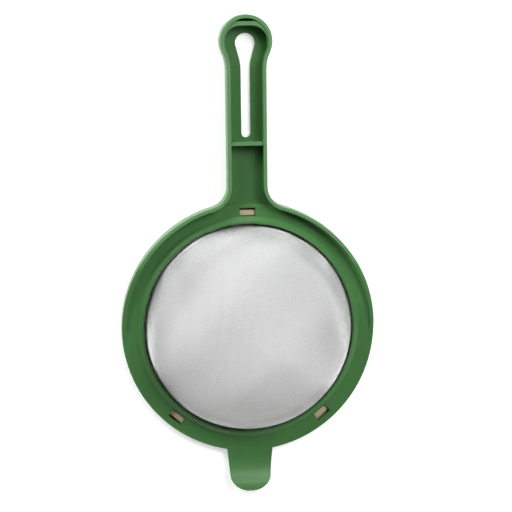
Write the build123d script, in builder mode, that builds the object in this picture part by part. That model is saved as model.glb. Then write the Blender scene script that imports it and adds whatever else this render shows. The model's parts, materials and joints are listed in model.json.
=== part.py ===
"""Hand-held flour sieve, lying face down: the mesh bowl bulges upwards and the open side of the
handle channel faces up. Millimetres. +Y runs along the handle, +Z is up, z = 0 is the surface it rests on."""

import os
from math import atan2, cos, degrees, radians, sin, sqrt

from build123d import *

# Driving dimensions, measured from the axis of the ring unless said otherwise.
RING_R = 80.0  # outer radius of the ring
HANDLE_REACH = 195.6  # ring axis to the end of the handle
TAB_REACH = 105.1  # ring axis to the tip of the rest tab
DRAFT = 2.0  # degrees, moulding draft on the outer walls

WALL = 2.7  # thickness of the standing wall round handle and ring
WALL_TOP = 12.0  # height of that wall along the handle
CHANNEL_FLOOR = 2.4  # thickness of the handle's skin
FACE_Z = 5.6  # height of the ring's flat face
OUTER_ROUND = 2.2  # rounding of the outer edge that meets the table
RIM_ROUND = 0.6  # rounding of the wall's outer top edge
COVE_R = 1.2  # concave corner between the ring's face and its wall
WALL_FADE_Y = -6.0  # the wall rises out of the face here,
WALL_LOW_Y = 4.0  # reaches this part of its height quickly
WALL_LOW_TOP = 7.4
WALL_FULL_Y = 50.0  # and has its full height from here on
WALL_FADE_BLEND = 30.0

HANDLE_HALF = 12.7  # half the width of the handle
HEAD_R = 16.6  # radius of the round end of the handle
ROOT_FLARE_R = 13.0  # concave flare between handle and ring
NECK_R = 25.0  # concave neck between handle and its round end
STEP_R = 78.3  # radius where the ring's face drops to the channel floor

LIP_R = 66.2  # radius of the opening in the frame
LIP_TOP = 8.2  # height of the raised lip round the opening
LIP_FLAT = 1.3  # width of the lip's top
LIP_FOOT_R = 70.3  # radius where the lip's slope meets the flat face
LIP_INNER_ROUND = 0.4
LIP_OUTER_ROUND = 1.5
SEAT_R = 76.2  # radius of the recess that takes the clamp ring
SEAT_TOP = 3.0  # depth of that recess

KEYHOLE_R = 6.15  # round end of the hanging hole
KEYHOLE_Y = 177.75  # centre of that round end
SLOT_HALF = 2.85  # half the width of the hanging slot
SLOT_NECK_Y = 165.2  # where the slot reaches its full narrowness
SLOT_END_Y = 119.5  # inner end of the slot
SLOT_NECK_R = 30.0  # the funnel blends into the slot over this radius
KEYHOLE_SHOULDER = 8.0  # degrees below the round end's middle where the funnel starts
RIB_Y = 116.0  # middle of the cross rib
RIB_THICKNESS = 2.4
RIB_TOP = 11.2  # ribs stop a little below the wall
HEAD_RIB_GAP = 1.85  # crescent gap between the wall and the straight rib in the round end
HEAD_RIB_THICKNESS = 2.65
ARCH_HALF = 13.2  # half the width of the space below that rib
ARCH_CORNER_R = 9.5  # the rib curves down along the wall over this radius

TAB_HALF_ROOT = 15.3  # half the tab's width at the ring
TAB_HALF_END = 12.65  # half the tab's width near its tip
TAB_THICKNESS = 3.0
TAB_BEND_Y = 84.0  # where the tab starts to curl up
TAB_BEND_R = 25.0
TAB_BEND_ANGLE = 34.0
TAB_CROWN_R = 6.5  # the tip rolls back over this radius
TAB_CROWN_ANGLE = 64.0
TAB_TIP_R = 14.0  # plan radius of the tab's tip
TAB_CORNER_R = 4.0

WINDOW_R = 73.0  # radius of the middle of each snap window
WINDOW_WIDTH = 10.0
WINDOW_DEPTH = 5.2  # radial size of a window
WINDOW_ANGLES = (90.0, 230.8, 309.2)  # degrees from +X
LEDGE_DEPTH = 1.35  # ledge inside the window that the hook catches
LEDGE_TOP = 3.6
SIDE_CLEARANCE = 0.3

CLAMP_R = 76.0  # outer radius of the clamp ring
CLAMP_BOTTOM = 0.3
CLAMP_TOP = 2.3
COLLAR_OUTER_R = 63.6  # collar that stands inside the mesh skirt
COLLAR_INNER_R = 62.1
COLLAR_TOP = 7.0
COLLAR_ROUND = 1.0
HOOK_OUTER_R = 74.2
HOOK_STEM_R = 72.15
HOOK_INNER_R = 70.8
HOOK_CATCH_Z = 3.7
HOOK_TOP = 4.2
HOOK_CHAMFER = 0.35
NOTCH_R = 74.2  # relief behind each hook, open to the clamp ring's outer edge
NOTCH_FLOOR = 1.0

MESH_R = 64.3  # mid-surface radius of the mesh skirt
MESH_HALF = 0.35  # half the thickness of the woven cloth
FLANGE_R = 69.8  # outer edge of the clamped mesh flange
SKIRT_TOP = 6.0  # the skirt is straight up to here
SIDE_ARC_R = 32.0  # steep shoulder of the bowl
CROWN_R = 90.0  # shallow crown of the bowl

# The ring's axis, placed so that the whole object is centred on the origin.
RING_Y = (TAB_REACH - HANDLE_REACH) / 2
HEAD_Y = HANDLE_REACH - HEAD_R
RING_AXIS = Axis((0, RING_Y, 0), (0, 0, 1))
RADIAL = Plane(origin=(0, RING_Y, 0), x_dir=(1, 0, 0), z_dir=(0, -1, 0))
SIDEWAYS = Plane(origin=(0, RING_Y, 0), x_dir=(0, 1, 0), z_dir=(1, 0, 0))
TOO_BIG = 300.0  # larger than the object, for cutting tools
POSITION_TOLERANCE = 0.1  # for choosing vertices by their place
UPWARD = 0.5  # a face whose normal rises more than this looks up
OVERLAP = 0.5  # joined features reach this far into each other


def level(z):
    """The horizontal plane at height z, with its origin on the ring's axis."""
    return Plane((0, RING_Y, z))


def polar(radius, angle):
    return (radius * cos(radians(angle)), radius * sin(radians(angle)))


def vertices_at(sketch, y):
    """The corners of a sketch at distance y from the ring's axis."""
    return sketch.vertices().filter_by_position(Axis.Y, y - POSITION_TOLERANCE, y + POSITION_TOLERANCE)


# Plan outline of the frame without its tab: ring, handle and round end, blended by concave arcs.
with BuildSketch(level(0)) as outline:
    Circle(RING_R)
    with Locations((0, HEAD_Y / 2)):
        Rectangle(2 * HANDLE_HALF, HEAD_Y)
    with Locations((0, HEAD_Y)):
        Circle(HEAD_R)
    root_y = sqrt(RING_R**2 - HANDLE_HALF**2)
    fillet(vertices_at(outline, root_y), ROOT_FLARE_R)
    neck_y = HEAD_Y - sqrt(HEAD_R**2 - HANDLE_HALF**2)
    fillet(vertices_at(outline, neck_y), NECK_R)

# The same outline, inside the standing wall.
with BuildSketch(level(0)) as inside:
    add(outline.sketch_local)
    offset(amount=-WALL, mode=Mode.REPLACE)

# Plan outline of the rest tab.
with BuildSketch(level(0)) as tab_plan:
    with BuildLine():
        tip_rise = TAB_TIP_R - sqrt(TAB_TIP_R**2 - TAB_HALF_END**2)
        left_root = (-TAB_HALF_ROOT, -LIP_FOOT_R)
        left_end = (-TAB_HALF_END, tip_rise - TAB_REACH)
        right_end = (TAB_HALF_END, tip_rise - TAB_REACH)
        right_root = (TAB_HALF_ROOT, -LIP_FOOT_R)
        Line(right_root, left_root)
        Line(left_root, left_end)
        ThreePointArc(left_end, (0, -TAB_REACH), right_end)
        Line(right_end, right_root)
    make_face()
    fillet(tab_plan.vertices().group_by(Axis.Y)[0], TAB_CORNER_R)

# Side view of the tab: flat, then curling up and rolling back over at the tip.
with BuildSketch(SIDEWAYS) as tab_side:
    with BuildLine():
        flat = Line((-LIP_FOOT_R, FACE_Z), (-TAB_BEND_Y, FACE_Z))
        curl = JernArc(flat @ 1, flat % 1, TAB_BEND_R, -TAB_BEND_ANGLE)
        crown = JernArc(curl @ 1, curl % 1, TAB_CROWN_R, TAB_CROWN_ANGLE)
        under_crown = JernArc(
            crown @ 1 + (crown % 1).rotate(Axis.Z, 90) * TAB_THICKNESS,
            -(crown % 1),
            TAB_CROWN_R - TAB_THICKNESS,
            -TAB_CROWN_ANGLE,
        )
        under_curl = JernArc(under_crown @ 1, under_crown % 1, TAB_BEND_R + TAB_THICKNESS, TAB_BEND_ANGLE)
        under_flat = Line(under_curl @ 1, (-LIP_FOOT_R, FACE_Z - TAB_THICKNESS))
        Line(crown @ 1, under_crown @ 0)
        Line(under_flat @ 1, flat @ 0)
    make_face()

# Everything above the wall's top edge, which runs down along the ring to nothing at its widest point.
with BuildSketch(SIDEWAYS) as above_wall:
    with BuildLine():
        FilletPolyline(
            (-TOO_BIG, FACE_Z),
            (WALL_FADE_Y, FACE_Z),
            (WALL_LOW_Y, WALL_LOW_TOP),
            (WALL_FULL_Y, WALL_TOP),
            (TOO_BIG, WALL_TOP),
            radius=WALL_FADE_BLEND,
        )
        Line((TOO_BIG, WALL_TOP), (TOO_BIG, TOO_BIG))
        Line((TOO_BIG, TOO_BIG), (-TOO_BIG, TOO_BIG))
        Line((-TOO_BIG, TOO_BIG), (-TOO_BIG, FACE_Z))
    make_face()

# Hanging hole: a round end that narrows into a long slot.
with BuildSketch(level(0)) as keyhole:
    with Locations((0, KEYHOLE_Y)):
        Circle(KEYHOLE_R)
    with BuildLine():
        shoulder_x = KEYHOLE_R * cos(radians(KEYHOLE_SHOULDER))
        shoulder_y = KEYHOLE_Y - KEYHOLE_R * sin(radians(KEYHOLE_SHOULDER))
        Polyline(
            (-shoulder_x, shoulder_y),
            (-SLOT_HALF, SLOT_NECK_Y),
            (-SLOT_HALF, SLOT_END_Y + SLOT_HALF),
            (SLOT_HALF, SLOT_END_Y + SLOT_HALF),
            (SLOT_HALF, SLOT_NECK_Y),
            (shoulder_x, shoulder_y),
            close=True,
        )
    make_face()
    fillet(vertices_at(keyhole, SLOT_NECK_Y), SLOT_NECK_R)
    with Locations((0, SLOT_END_Y + SLOT_HALF)):
        Circle(SLOT_HALF)

# Raised lip round the opening, with a slope down to the flat face and rounded top edges.
with BuildSketch(RADIAL) as lip_section:
    with BuildLine():
        Polyline(
            (LIP_R, FACE_Z - OVERLAP),
            (LIP_R, LIP_TOP),
            (LIP_R + LIP_FLAT, LIP_TOP),
            (LIP_FOOT_R, FACE_Z),
            (LIP_FOOT_R, FACE_Z - OVERLAP),
            close=True,
        )
    make_face()
    inner_corner, outer_corner = lip_section.vertices().sort_by(Axis.Z)[-2:].sort_by(Axis.X)
    fillet(inner_corner, LIP_INNER_ROUND)
    fillet(outer_corner, LIP_OUTER_ROUND)


def window_plane(angle, z):
    """A horizontal plane at a snap window, with local +X pointing outwards from the ring's axis."""
    x, y = polar(WINDOW_R, angle)
    return Plane((x, RING_Y + y, z), x_dir=(cos(radians(angle)), sin(radians(angle)), 0))


# Rest tab, moulded in one piece with the frame.
with BuildPart() as tab:
    extrude(tab_side.sketch, amount=TAB_HALF_ROOT, both=True)
    extrude(tab_plan.sketch, amount=TOO_BIG, mode=Mode.INTERSECT)
    upper_faces = tab.faces().filter_by(lambda face: face.normal_at(face.center()).Z > UPWARD)
    fillet(upper_faces.edges().filter_by(Axis.X, reverse=True), RIM_ROUND)

# Shallow pocket inside the wall, with a coved corner.
with BuildPart() as pocket:
    with BuildSketch(level(FACE_Z)):
        add(inside.sketch_local)
    extrude(amount=TOO_BIG)
    fillet(pocket.faces().sort_by(Axis.Z)[0].edges(), COVE_R)

with BuildPart() as frame:
    extrude(outline.sketch, amount=WALL_TOP, taper=DRAFT)
    # The wall's top edge, then both outer edges rounded.
    extrude(above_wall.sketch, amount=TOO_BIG, both=True, mode=Mode.SUBTRACT)
    fillet(frame.faces().sort_by(Axis.Z)[0].edges(), OUTER_ROUND)
    upper_faces = frame.faces().filter_by(lambda face: face.normal_at(face.center()).Z > UPWARD)
    fillet(upper_faces.edges().filter_by(Axis.X, reverse=True), RIM_ROUND)
    add(pocket.part, mode=Mode.SUBTRACT)
    add(tab.part)
    # Deep channel of the handle, out to the step where the ring's face begins.
    with BuildSketch(level(CHANNEL_FLOOR)):
        add(inside.sketch_local)
        Circle(STEP_R, mode=Mode.SUBTRACT)
    extrude(amount=TOO_BIG, mode=Mode.SUBTRACT)
    # Cross rib, and the rib inside the round end.
    with BuildSketch(level(CHANNEL_FLOOR - OVERLAP)):
        with Locations((0, RIB_Y)):
            Rectangle(2 * HANDLE_HALF - WALL, RIB_THICKNESS)
    extrude(amount=RIB_TOP - CHANNEL_FLOOR + OVERLAP)
    with BuildSketch(level(CHANNEL_FLOOR - OVERLAP)):
        with Locations((0, HEAD_Y)):
            Circle(HEAD_R - WALL + OVERLAP)
        rib_outer_y = HANDLE_REACH - WALL - HEAD_RIB_GAP
        with Locations((0, rib_outer_y + HEAD_R)):
            Rectangle(2 * HEAD_R, 2 * HEAD_R, mode=Mode.SUBTRACT)
        arch_height = 2 * HEAD_R
        with Locations((0, rib_outer_y - HEAD_RIB_THICKNESS - arch_height / 2)):
            RectangleRounded(2 * ARCH_HALF, arch_height, ARCH_CORNER_R, mode=Mode.SUBTRACT)
        with Locations((0, HEAD_Y - 2 * HEAD_R)):
            Rectangle(2 * HEAD_R, 2 * HEAD_R, mode=Mode.SUBTRACT)
    extrude(amount=RIB_TOP - CHANNEL_FLOOR + OVERLAP)
    # Opening, raised lip, recess for the clamp ring and hanging hole.
    with BuildSketch(level(0)):
        Circle(LIP_R)
        add(keyhole.sketch_local)
    extrude(amount=TOO_BIG, mode=Mode.SUBTRACT)
    revolve(lip_section.sketch, axis=RING_AXIS)
    with BuildSketch(level(0)):
        Circle(SEAT_R)
    extrude(amount=SEAT_TOP, mode=Mode.SUBTRACT)
    # Snap windows, each with a ledge on its inner side.
    for angle in WINDOW_ANGLES:
        with BuildSketch(window_plane(angle, LEDGE_TOP)):
            Rectangle(WINDOW_DEPTH, WINDOW_WIDTH)
        extrude(amount=TOO_BIG, mode=Mode.SUBTRACT)
        with BuildSketch(window_plane(angle, 0)):
            with Locations((LEDGE_DEPTH / 2, 0)):
                Rectangle(WINDOW_DEPTH - LEDGE_DEPTH, WINDOW_WIDTH)
        extrude(amount=LEDGE_TOP, mode=Mode.SUBTRACT)

frame.part.label = "frame"
os.makedirs("parts", exist_ok=True)
export_step(frame.part, "parts/frame.step")

# Clamp ring: a flat ring with a collar inside the mesh skirt and three snap hooks.
with BuildPart() as clamp_ring:
    with BuildSketch(RADIAL):
        with BuildLine():
            Polyline(
                (COLLAR_INNER_R, CLAMP_BOTTOM),
                (CLAMP_R, CLAMP_BOTTOM),
                (CLAMP_R, CLAMP_TOP),
                (COLLAR_OUTER_R, CLAMP_TOP),
                (COLLAR_OUTER_R, COLLAR_TOP),
                (COLLAR_INNER_R, COLLAR_TOP),
                close=True,
            )
        make_face()
    revolve(axis=RING_AXIS)
    inner_foot = clamp_ring.edges().filter_by(GeomType.CIRCLE).sort_by(Axis.Z)[:2].sort_by(SortBy.RADIUS)[0]
    fillet(inner_foot, COLLAR_ROUND)
    for angle in WINDOW_ANGLES:
        # Relief that lets the hook bend outwards while it snaps in.
        with BuildSketch(window_plane(angle, NOTCH_FLOOR)):
            with Locations((NOTCH_R - WINDOW_R + WINDOW_DEPTH / 2, 0)):
                Rectangle(WINDOW_DEPTH, WINDOW_WIDTH + 2 * SIDE_CLEARANCE)
        extrude(amount=TOO_BIG, mode=Mode.SUBTRACT)
    for angle in WINDOW_ANGLES:
        x, y = polar(WINDOW_R, angle)
        outwards = (cos(radians(angle)), sin(radians(angle)), 0)
        sideways = (sin(radians(angle)), -cos(radians(angle)), 0)
        with BuildSketch(Plane((x, RING_Y + y, 0), x_dir=outwards, z_dir=sideways)):
            with BuildLine():
                Polyline(
                    (HOOK_STEM_R - WINDOW_R, CLAMP_TOP - OVERLAP),
                    (HOOK_OUTER_R - WINDOW_R, CLAMP_TOP - OVERLAP),
                    (HOOK_OUTER_R - WINDOW_R, HOOK_TOP),
                    (HOOK_INNER_R - WINDOW_R + HOOK_CHAMFER, HOOK_TOP),
                    (HOOK_INNER_R - WINDOW_R, HOOK_TOP - HOOK_CHAMFER),
                    (HOOK_INNER_R - WINDOW_R, HOOK_CATCH_Z),
                    (HOOK_STEM_R - WINDOW_R, HOOK_CATCH_Z),
                    close=True,
                )
            make_face()
        extrude(amount=WINDOW_WIDTH / 2 - SIDE_CLEARANCE, both=True)

clamp_ring.part.label = "clamp_ring"
export_step(clamp_ring.part, "parts/clamp_ring.step")

# Mesh bowl: the woven cloth as one thin shell, with the flat flange that the clamp ring holds.
SHOULDER_X = MESH_R - SIDE_ARC_R
CROWN_Z = SKIRT_TOP - sqrt((CROWN_R - SIDE_ARC_R) ** 2 - SHOULDER_X**2)
SHOULDER_ANGLE = degrees(atan2(SKIRT_TOP - CROWN_Z, SHOULDER_X))


def bowl_curve(offset_out):
    """Crown and shoulder arcs of the bowl, offset outwards from the middle of the cloth."""
    crown = CenterArc((0, CROWN_Z), CROWN_R + offset_out, SHOULDER_ANGLE, 90 - SHOULDER_ANGLE)
    shoulder = CenterArc((SHOULDER_X, SKIRT_TOP), SIDE_ARC_R + offset_out, 0, SHOULDER_ANGLE)
    return crown, shoulder


with BuildPart() as mesh_bowl:
    with BuildSketch(RADIAL):
        with BuildLine():
            outer_crown, outer_shoulder = bowl_curve(MESH_HALF)
            inner_crown, inner_shoulder = bowl_curve(-MESH_HALF)
            Line(inner_crown @ 1, outer_crown @ 1)
            Polyline(
                outer_shoulder @ 0,
                (MESH_R + MESH_HALF, SEAT_TOP),
                (FLANGE_R, SEAT_TOP),
                (FLANGE_R, CLAMP_TOP),
                (MESH_R - MESH_HALF, CLAMP_TOP),
                inner_shoulder @ 0,
            )
        make_face()
    revolve(axis=RING_AXIS)

mesh_bowl.part.label = "mesh_bowl"
export_step(mesh_bowl.part, "parts/mesh_bowl.step")
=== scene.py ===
"""Looks of the hand sieve: moulded green frame, beige clamp ring and a bowl of real woven wires."""

import json
from math import cos, pi, radians, sin

import bpy
import numpy as np
from mathutils import Matrix, Vector


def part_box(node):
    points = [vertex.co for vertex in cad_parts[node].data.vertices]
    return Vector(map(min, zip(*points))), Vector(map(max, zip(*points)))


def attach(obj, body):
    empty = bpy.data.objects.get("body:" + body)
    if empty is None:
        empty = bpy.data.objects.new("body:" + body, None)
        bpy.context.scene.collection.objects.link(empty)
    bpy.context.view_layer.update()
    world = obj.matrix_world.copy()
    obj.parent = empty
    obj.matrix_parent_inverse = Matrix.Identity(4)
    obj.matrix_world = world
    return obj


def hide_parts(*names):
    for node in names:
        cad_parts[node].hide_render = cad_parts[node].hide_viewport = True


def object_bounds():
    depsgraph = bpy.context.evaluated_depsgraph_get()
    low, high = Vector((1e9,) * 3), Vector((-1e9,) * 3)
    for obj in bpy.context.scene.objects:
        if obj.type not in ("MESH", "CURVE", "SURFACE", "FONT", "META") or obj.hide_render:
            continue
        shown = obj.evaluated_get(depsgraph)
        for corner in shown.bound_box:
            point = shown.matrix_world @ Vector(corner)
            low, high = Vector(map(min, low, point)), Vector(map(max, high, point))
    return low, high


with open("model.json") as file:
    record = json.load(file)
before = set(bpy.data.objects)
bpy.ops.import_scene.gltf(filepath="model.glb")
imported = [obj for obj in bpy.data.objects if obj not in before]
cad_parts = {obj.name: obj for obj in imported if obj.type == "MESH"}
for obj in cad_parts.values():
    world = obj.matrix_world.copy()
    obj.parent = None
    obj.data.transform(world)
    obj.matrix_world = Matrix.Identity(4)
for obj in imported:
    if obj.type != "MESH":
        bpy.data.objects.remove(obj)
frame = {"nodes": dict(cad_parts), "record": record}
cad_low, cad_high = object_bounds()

MM = 0.001

# Where the frame says things are.
bowl_low, bowl_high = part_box("mesh_bowl")
RING_X = (bowl_low[0] + bowl_high[0]) / 2
RING_Y = (bowl_low[1] + bowl_high[1]) / 2
FLANGE_R = (bowl_high[0] - bowl_low[0]) / 2
COLOURS = {m["slot"]: m["base_color"] for m in frame["record"]["materials"]}

# Noise lies mostly between these two values, so they are what gets spread over a material's range.
NOISE_LOW, NOISE_HIGH = 0.3, 0.7

# Green moulding: faint flow marks, and walls and ribs whose tops are painted paler with a white haze, a
# painted sheen.
FLOW_SIZE = 22 * MM
FLOW_STRETCH = (1, 0.45, 1)
FLOW_DARK, FLOW_LIGHT = 0.93, 1.07
PAINTED_SHEEN_FROM = 10.7 * MM
PAINTED_SHEEN_FULL = 11.15 * MM
PAINTED_SHEEN_GAIN = 1.15
PAINTED_SHEEN_HAZE = 0.028
GLOSS_SIZE = 6 * MM
GLOSS_ROUGHNESS = (0.30, 0.40)
SKIN_SIZE = 0.35 * MM
SKIN_DEPTH = 0.02 * MM
WAVE_SIZE = 9 * MM
WAVE_DEPTH = 0.25 * MM
MOULD_BUMP = 0.35

# Beige plastic with plant fibres.
BEIGE_FLOW_SIZE = 8 * MM
BEIGE_DARK, BEIGE_LIGHT = 0.92, 1.08
BEIGE_ROUGHNESS = (0.5, 0.65)
FIBRE_SIZE = 0.5 * MM
FIBRE_STRETCH = (1, 3, 3)
FIBRE_FROM, FIBRE_FULL = 0.60, 0.72
FIBRE_SHADE = 0.55
FIBRE_DEPTH = 0.03 * MM
FIBRE_BUMP = 0.4

# The wires' steel, paler than the record's, so that the cloth looks as bright as the real one.
WIRE_COLOUR = (0.76, 0.76, 0.765)
WIRE_ROUGHNESS = 0.30

# The cloth: a plain weave whose middle surface is a crown, a steep shoulder, a skirt and a flange.
WIRE_R = 0.175 * MM
PITCH = 0.94 * MM
CROWN_R = 90.0 * MM
SHOULDER_R = 32.0 * MM
SKIRT_R = 64.3 * MM
SKIRT_TOP = 6.0 * MM
FLANGE_Z = bowl_low[2] + 2 * WIRE_R
BEND_R = 1.0 * MM
WEAVE_ANGLE = radians(45)
CROSSING_FLAT = 0.25  # a wire lies flat over a crossing for this share of the pitch, each way
TUBE_SIDES = 6
SPARE_CROSSINGS = 3  # the net runs this far past the cloth's edge
FEWEST_CROSSINGS = 3  # a shorter wire is left out
PIECES_PER_DIRECTION = 4
DOME_SAMPLES = 400
SOLVER_ROUNDS = 12

# The stage: a pale table, softboxes round the object and a long lens above it.
TABLE_HALF = 3.0
TABLE_GAP = 0.05 * MM  # how far the table is below the object
TABLE_MOTTLE_SIZE = 0.15
TABLE_SHADES = ((0.90, 0.90, 0.90), (0.93, 0.93, 0.93))
TABLE_ROUGHNESS = 0.8
# The table's glow: painted light around the object that lifts its shadow, and weaker painted shade under
# the ring and the bowl.
GLOW_UNDER = 0.14
GLOW_AROUND = 0.46
RING_R = 80.0 * MM
LIGHT_DISTANCE = 1.6
SOFTBOX_SIZE = 0.8
SOFTBOXES = (  # name, azimuth and elevation in degrees, power in watts
    ("key_softbox", 48, 50, 17),
    ("back_softbox", 90, 24, 4),
    ("left_softbox", 135, 24, 23),
    ("right_softbox", 0, 30, 7.5),
    ("front_softbox", 270, 24, 6),
)
WORLD_STRENGTH = 0.03
CAMERA_OFFSET = Vector((-96.6, 177.3, 1000.0)) * MM  # from the ring's centre on the table
CAMERA_AIM = Vector((5.7, 44.4, 0.0)) * MM  # from the same centre
CAMERA_LENS = 112.95
CAMERA_ROLL = radians(-0.63)


# ---------------------------------------------------------------- node helpers

def new_material(name):
    """An empty node material with its Principled shader, and a function that adds a node."""
    material = bpy.data.materials.new(name)
    material.use_nodes = True
    tree = material.node_tree
    shader = tree.nodes["Principled BSDF"]

    def add(kind, **values):
        """Each value sets a property of the node, or an input whose name has spaces for underscores."""
        node = tree.nodes.new("ShaderNode" + kind)
        for key, value in values.items():
            if hasattr(node, key):
                setattr(node, key, value)
            else:
                node.inputs[key.replace("_", " ")].default_value = value
        return node

    return material, tree.links.new, shader, add


def noise(add, link, size, detail, stretch=(1, 1, 1)):
    """Noise in object coordinates, whose features are about size metres across."""
    place = add("TexCoord")
    mapping = add("Mapping")
    mapping.inputs["Scale"].default_value = stretch
    link(place.outputs["Object"], mapping.inputs["Vector"])
    texture = add("TexNoise", Scale=1 / size, Detail=detail)
    link(mapping.outputs["Vector"], texture.inputs["Vector"])
    return texture.outputs["Fac"]


def spread(add, link, value, low, high, start=0.0, end=1.0):
    """Maps start..end of value to low..high."""
    node = add("MapRange", From_Min=start, From_Max=end, To_Min=low, To_Max=high)
    link(value, node.inputs["Value"])
    return node.outputs["Result"]


def height_share(add, link, start, end):
    """0 below the height start, 1 above the height end, in metres above the table."""
    place = add("TexCoord")
    split = add("SeparateXYZ")
    link(place.outputs["Object"], split.inputs["Vector"])
    return spread(add, link, split.outputs["Z"], 0, 1, start, end)


def blend(add, link, factor, first, second):
    """Goes from the first colour to the second as factor goes from 0 to 1. The first may be a socket."""
    node = add("Mix", data_type="RGBA")
    link(factor, node.inputs["Factor"])
    if isinstance(first, bpy.types.NodeSocket):
        link(first, node.inputs["A"])
    else:
        node.inputs["A"].default_value = (*first, 1)
    node.inputs["B"].default_value = (*second, 1)
    return node.outputs["Result"]


def scaled(colour, factor, lift=0.0):
    """The colour with each channel times the factor, plus the lift."""
    return [channel * factor + lift for channel in colour]


# ---------------------------------------------------------------- materials

def moulded_plastic():
    """Satin green moulding: faint flow marks, a fine textured skin, uneven gloss and a painted sheen
    that makes the tops paler.
    """
    material, link, shader, add = new_material("green_moulded_plastic")
    green = COLOURS["frame_plastic"]
    flow = noise(add, link, FLOW_SIZE, detail=3, stretch=FLOW_STRETCH)
    marks = spread(add, link, flow, 0, 1, NOISE_LOW, NOISE_HIGH)
    tint = blend(add, link, marks, scaled(green, FLOW_DARK), scaled(green, FLOW_LIGHT))
    # Walls and ribs above this height get a paler colour with a white haze: a painted sheen on their
    # tops.
    height = height_share(add, link, PAINTED_SHEEN_FROM, PAINTED_SHEEN_FULL)
    painted_sheen = blend(add, link, height, tint, scaled(green, PAINTED_SHEEN_GAIN, PAINTED_SHEEN_HAZE))
    link(painted_sheen, shader.inputs["Base Color"])
    gloss = noise(add, link, GLOSS_SIZE, detail=4)
    link(spread(add, link, gloss, *GLOSS_ROUGHNESS, NOISE_LOW, NOISE_HIGH), shader.inputs["Roughness"])
    skin = noise(add, link, SKIN_SIZE, detail=2)
    waves = noise(add, link, WAVE_SIZE, detail=1)
    fine = add("Bump", Strength=MOULD_BUMP, Distance=SKIN_DEPTH)
    link(skin, fine.inputs["Height"])
    broad = add("Bump", Strength=MOULD_BUMP, Distance=WAVE_DEPTH)
    link(waves, broad.inputs["Height"])
    link(fine.outputs["Normal"], broad.inputs["Normal"])
    link(broad.outputs["Normal"], shader.inputs["Normal"])
    return material


def fibre_plastic():
    """Beige plastic filled with short plant fibres that show as fine dark specks."""
    material, link, shader, add = new_material("beige_fibre_plastic")
    beige = COLOURS["clamp_plastic"]
    flow = noise(add, link, BEIGE_FLOW_SIZE, detail=3)
    tint = blend(add, link, flow, scaled(beige, BEIGE_DARK), scaled(beige, BEIGE_LIGHT))
    fibres = noise(add, link, FIBRE_SIZE, detail=2, stretch=FIBRE_STRETCH)
    specks = spread(add, link, fibres, 0, 1, FIBRE_FROM, FIBRE_FULL)
    speckled = blend(add, link, specks, tint, scaled(beige, FIBRE_SHADE))
    link(speckled, shader.inputs["Base Color"])
    link(spread(add, link, flow, *BEIGE_ROUGHNESS), shader.inputs["Roughness"])
    bump = add("Bump", Strength=FIBRE_BUMP, Distance=FIBRE_DEPTH)
    link(fibres, bump.inputs["Height"])
    link(bump.outputs["Normal"], shader.inputs["Normal"])
    return material


def drawn_steel():
    """Drawn stainless wire. It is the same all over, because the weave gives the cloth its pattern."""
    material, _, shader, _ = new_material("drawn_stainless_wire")
    shader.inputs["Base Color"].default_value = (*WIRE_COLOUR, 1)
    shader.inputs["Metallic"].default_value = 1.0
    shader.inputs["Roughness"].default_value = WIRE_ROUGHNESS
    return material


def give(name, material):
    """Puts a material on every slot of a CAD node."""
    node = frame["nodes"][name]
    for slot in node.material_slots:
        slot.material = material


# ---------------------------------------------------------------- woven cloth

CROWN_END = np.arcsin((SKIRT_R - SHOULDER_R) / (CROWN_R - SHOULDER_R))  # tilt of the cloth there
CROWN_Z = SKIRT_TOP - (CROWN_R - SHOULDER_R) * cos(CROWN_END)
CROWN_LENGTH = CROWN_R * CROWN_END
DOME_LENGTH = CROWN_LENGTH + SHOULDER_R * (pi / 2 - CROWN_END)
SKIRT_LENGTH = SKIRT_TOP - FLANGE_Z - BEND_R
BEND_LENGTH = BEND_R * pi / 2
TO_BEND = DOME_LENGTH + SKIRT_LENGTH
CLOTH_LENGTH = TO_BEND + BEND_LENGTH + FLANGE_R - SKIRT_R - BEND_R - WIRE_R


def tilt(s):
    """Tilt from level of the dome, s metres of cloth from its crown; the skirt stands upright."""
    crown = s / CROWN_R
    shoulder = CROWN_END + (s - CROWN_LENGTH) / SHOULDER_R
    return np.minimum(np.where(s < CROWN_LENGTH, crown, shoulder), pi / 2)


def dome(s):
    """Radius and height of the dome, with the skirt going straight down for ever."""
    angle = tilt(s)
    on_crown = s < CROWN_LENGTH
    radius = np.where(on_crown, CROWN_R * np.sin(angle), SKIRT_R - SHOULDER_R * (1 - np.sin(angle)))
    height = np.where(
        on_crown, CROWN_Z + CROWN_R * np.cos(angle), SKIRT_TOP + SHOULDER_R * np.cos(angle)
    )
    return radius, height - np.maximum(s - DOME_LENGTH, 0)


def cloth(s, around):
    """Points and normals of the cloth's middle surface, with its bend and flange at the bottom."""
    radius, height = dome(s)
    angle = tilt(s)
    turn = np.clip((s - TO_BEND) / BEND_R, 0, pi / 2)
    bent = s > TO_BEND
    flat = np.maximum(s - TO_BEND - BEND_LENGTH, 0)
    radius = np.where(bent, SKIRT_R + BEND_R * (1 - np.cos(turn)) + flat, radius)
    height = np.where(bent, FLANGE_Z + BEND_R * (1 - np.sin(turn)), height)
    angle = np.where(bent, pi / 2 - turn, angle)
    points = np.stack(
        [RING_X + radius * np.cos(around), RING_Y + radius * np.sin(around), height], -1
    )
    normals = np.stack(
        [np.sin(angle) * np.cos(around), np.sin(angle) * np.sin(around), np.cos(angle)], -1
    )
    return points, normals


def place(s, around):
    """A point of the dome in 3-D, about its own axis, and its two tangents."""
    radius, height = dome(s)
    angle = tilt(s)
    point = np.stack([radius * np.cos(around), radius * np.sin(around), height], -1)
    along = np.stack(
        [np.cos(angle) * np.cos(around), np.cos(angle) * np.sin(around), -np.sin(angle)], -1
    )
    across = np.stack([-radius * np.sin(around), radius * np.cos(around), np.zeros_like(radius)], -1)
    return point, along, across


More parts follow.
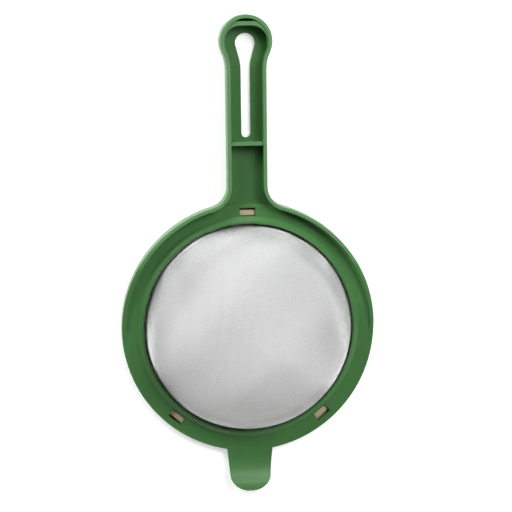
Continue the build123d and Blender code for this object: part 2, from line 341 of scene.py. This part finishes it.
def quarter_net():
    """One quarter of the net of crossings. Woven cloth shears but doesn't stretch, so every crossing is
    one pitch from both of its neighbours. The two first wires follow meridians of the dome."""
    count = int(CLOTH_LENGTH / PITCH) + SPARE_CROSSINGS
    s = np.full((count, count), np.nan)
    around = np.full((count, count), np.nan)
    steps = np.arange(count) * PITCH
    s[:, 0], around[:, 0] = steps, 0.0
    s[0, :], around[0, :] = steps, pi / 2
    sampled = np.linspace(0, DOME_LENGTH, DOME_SAMPLES)
    sampled_r = dome(sampled)[0]
    for diagonal in range(2, 2 * count - 1):
        i = np.arange(max(1, diagonal - count + 1), min(count, diagonal))
        j = diagonal - i
        usable = (s[i - 1, j] < CLOTH_LENGTH + PITCH) & (s[i, j - 1] < CLOTH_LENGTH + PITCH)
        i, j = i[usable], j[usable]
        if not len(i):
            continue
        first = place(s[i - 1, j], around[i - 1, j])[0]
        second = place(s[i, j - 1], around[i, j - 1])[0]
        behind = place(s[i - 1, j - 1], around[i - 1, j - 1])[0]
        guess = first + second - behind
        reach = np.hypot(guess[:, 0], guess[:, 1])
        far = s[i - 1, j] + s[i, j - 1] - s[i - 1, j - 1]
        length = np.where(far < CROWN_LENGTH, np.interp(reach, sampled_r, sampled), far)
        angle = np.arctan2(guess[:, 1], guess[:, 0])
        for _ in range(SOLVER_ROUNDS):
            point, along, across = place(length, angle)
            a, b = point - first, point - second
            miss_a = (a * a).sum(1) - PITCH**2
            miss_b = (b * b).sum(1) - PITCH**2
            aa, ab = 2 * (a * along).sum(1), 2 * (a * across).sum(1)
            ba, bb = 2 * (b * along).sum(1), 2 * (b * across).sum(1)
            det = aa * bb - ab * ba
            length = length - (bb * miss_a - ab * miss_b) / det
            angle = angle - (aa * miss_b - ba * miss_a) / det
        s[i, j], around[i, j] = length, angle
    return s, around


def whole_net(s, around):
    """All four quarters, with i and j both running from -count + 1 to count - 1."""
    count = len(s)
    index = np.arange(-count + 1, count)
    i, j = np.meshgrid(index, index, indexing="ij")
    turns = np.select([(i >= 0) & (j >= 0), (i < 0) & (j >= 0), (i < 0) & (j < 0)], [0, 1, 2], 3)
    own_i = np.select([turns == 0, turns == 1, turns == 2], [i, j, -i], -j)
    own_j = np.select([turns == 0, turns == 1, turns == 2], [j, -i, -j], i)
    return index, s[own_i, own_j], around[own_i, own_j] + turns * pi / 2 + WEAVE_ANGLE


def wire_centres(s, around, side):
    """The middle line of one wire and the cloth's normals along it, from the wire's crossings. Side is
    +1 where it passes over and -1 where it passes under. The answer is None for a wire too short."""
    kept = np.flatnonzero(s <= CLOTH_LENGTH)
    if len(kept) < FEWEST_CROSSINGS:
        return None
    kept = np.arange(kept[0], kept[-1] + 1)
    points, normals = cloth(s[kept], around[kept])
    offset = normals * (side[kept] * WIRE_R)[:, None]
    step = np.diff(points, axis=0)
    leaving = points[:-1] + step * CROSSING_FLAT + offset[:-1]
    arriving = points[1:] - step * CROSSING_FLAT + offset[1:]
    middle = np.stack([leaving, arriving], 1).reshape(-1, 3)
    facing = np.stack([normals[:-1], normals[1:]], 1).reshape(-1, 3)
    return middle, facing


def tube(middle, facing):
    """Ring vertices round a middle line, with one side of the tube facing out of the cloth."""
    run = np.gradient(middle, axis=0)
    run /= np.linalg.norm(run, axis=1, keepdims=True)
    side = np.cross(run, facing)
    side /= np.linalg.norm(side, axis=1, keepdims=True)
    out = np.cross(side, run)
    angle = (np.arange(TUBE_SIDES) + 0.5) * 2 * pi / TUBE_SIDES
    ring = out[:, None] * np.cos(angle)[None, :, None] + side[:, None] * np.sin(angle)[None, :, None]
    return (middle[:, None] + WIRE_R * ring).reshape(-1, 3)


def wires_object(name, wires):
    """One mesh object of closed tubes."""
    vertices, corners, sizes, start = [], [], [], 0
    around = np.arange(TUBE_SIDES)
    following = (around + 1) % TUBE_SIDES
    for middle, facing in wires:
        vertices.append(tube(middle, facing))
        rings = start + np.arange(len(middle) - 1)[:, None] * TUBE_SIDES
        quads = np.stack(
            [
                rings + around,
                rings + following,
                rings + TUBE_SIDES + following,
                rings + TUBE_SIDES + around,
            ],
            -1,
        )
        last = start + (len(middle) - 1) * TUBE_SIDES
        corners += [quads.ravel(), start + around[::-1], last + around]
        sizes += [np.full(quads.size // 4, 4), [TUBE_SIDES], [TUBE_SIDES]]
        start += len(middle) * TUBE_SIDES
    vertices, corners = np.concatenate(vertices), np.concatenate(corners)
    sizes = np.concatenate(sizes)
    mesh = bpy.data.meshes.new(name)
    mesh.vertices.add(len(vertices))
    mesh.vertices.foreach_set("co", vertices.astype(np.float32).ravel())
    mesh.loops.add(len(corners))
    mesh.loops.foreach_set("vertex_index", corners.astype(np.int32))
    mesh.polygons.add(len(sizes))
    starts = np.concatenate([[0], np.cumsum(sizes)[:-1]])
    mesh.polygons.foreach_set("loop_start", starts.astype(np.int32))
    mesh.update(calc_edges=True)
    mesh.validate()
    mesh.shade_smooth()
    thing = bpy.data.objects.new(name, mesh)
    bpy.context.scene.collection.objects.link(thing)
    return thing


def weave():
    """The bowl's cloth as warp and weft wires, in a few pieces for each direction."""
    index, s, around = whole_net(*quarter_net())
    over = np.where((index[:, None] + index[None, :]) % 2 == 0, 1.0, -1.0)
    steel = drawn_steel()
    for direction, lines in (
        ("warp", [(s[:, k], around[:, k], over[:, k]) for k in range(len(index))]),
        ("weft", [(s[k, :], around[k, :], -over[k, :]) for k in range(len(index))]),
    ):
        wires = [w for w in (wire_centres(*line) for line in lines) if w is not None]
        crossings = np.cumsum([len(middle) for middle, _ in wires])
        group = (crossings - 1) * PIECES_PER_DIRECTION // crossings[-1]
        for number in range(PIECES_PER_DIRECTION):
            members = [w for w, g in zip(wires, group) if g == number]
            piece = wires_object(f"mesh_{direction}_{number + 1}", members)
            piece.data.materials.append(steel)
            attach(piece, "root")
            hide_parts("mesh_bowl")


# ---------------------------------------------------------------- stage

def stage_floor():
    """A pale table that glows like a light table. The glow is painted light that lifts the object's
    shadow around it. It glows less under the ring and the bowl, a painted shade there.
    """
    material, link, shader, add = new_material("pale_table")
    mottle = noise(add, link, TABLE_MOTTLE_SIZE, detail=2)
    link(blend(add, link, mottle, *TABLE_SHADES), shader.inputs["Base Color"])
    shader.inputs["Roughness"].default_value = TABLE_ROUGHNESS
    shader.inputs["Emission Color"].default_value = (1, 1, 1, 1)
    place = add("TexCoord")
    reach = add("VectorMath", operation="DISTANCE")
    reach.inputs[1].default_value = (RING_X, RING_Y, cad_low.z)
    link(place.outputs["Object"], reach.inputs[0])
    glow = spread(add, link, reach.outputs["Value"], GLOW_UNDER, GLOW_AROUND, SKIRT_R, RING_R)
    link(glow, shader.inputs["Emission Strength"])
    mesh = bpy.data.meshes.new("table")
    level = cad_low.z - TABLE_GAP
    signs = ((-1, -1), (1, -1), (1, 1), (-1, 1))
    corners = [(x * TABLE_HALF, y * TABLE_HALF, level) for x, y in signs]
    mesh.from_pydata(corners, [], [(0, 1, 2, 3)])
    mesh.materials.append(material)
    floor = bpy.data.objects.new("table", mesh)
    bpy.context.scene.collection.objects.link(floor)


def softbox(name, azimuth, elevation, power):
    """A square area light aimed at the object's middle. Azimuth runs from +X towards the handle."""
    turn, rise = radians(azimuth), radians(elevation)
    place = LIGHT_DISTANCE * Vector((cos(turn) * cos(rise), sin(turn) * cos(rise), sin(rise)))
    lamp = bpy.data.lights.new(name, "AREA")
    lamp.shape = "SQUARE"
    lamp.size = SOFTBOX_SIZE
    lamp.energy = power
    light = bpy.data.objects.new(name, lamp)
    light.location = place
    light.rotation_euler = (-place).to_track_quat("-Z", "Y").to_euler()
    bpy.context.scene.collection.objects.link(light)


def studio_light():
    """A key from the upper right, a lower one from the upper left, and weaker ones for the sides."""
    for box in SOFTBOXES:
        softbox(*box)
    world = bpy.data.worlds.new("studio")
    world.use_nodes = True
    backdrop = world.node_tree.nodes["Background"]
    backdrop.inputs["Color"].default_value = (1, 1, 1, 1)
    backdrop.inputs["Strength"].default_value = WORLD_STRENGTH
    bpy.context.scene.world = world


def camera():
    """A long lens about a metre away, leaning a little towards the handle and to the left."""
    ring = Vector((RING_X, RING_Y, 0))
    forward = (CAMERA_AIM - CAMERA_OFFSET).normalized()
    right = forward.cross(Vector((0, 1, 0))).normalized()
    up = right.cross(forward)
    turn = Matrix((right, up, -forward)).transposed() @ Matrix.Rotation(CAMERA_ROLL, 3, "Z")
    data = bpy.data.cameras.new("camera")
    data.lens = CAMERA_LENS
    thing = bpy.data.objects.new("camera", data)
    thing.matrix_world = Matrix.Translation(ring + CAMERA_OFFSET) @ turn.to_4x4()
    bpy.context.scene.collection.objects.link(thing)
    bpy.context.scene.camera = thing


give("frame", moulded_plastic())
give("clamp_ring", fibre_plastic())
weave()
stage_floor()
studio_light()
camera()
bpy.context.scene.view_settings.view_transform = "Standard"
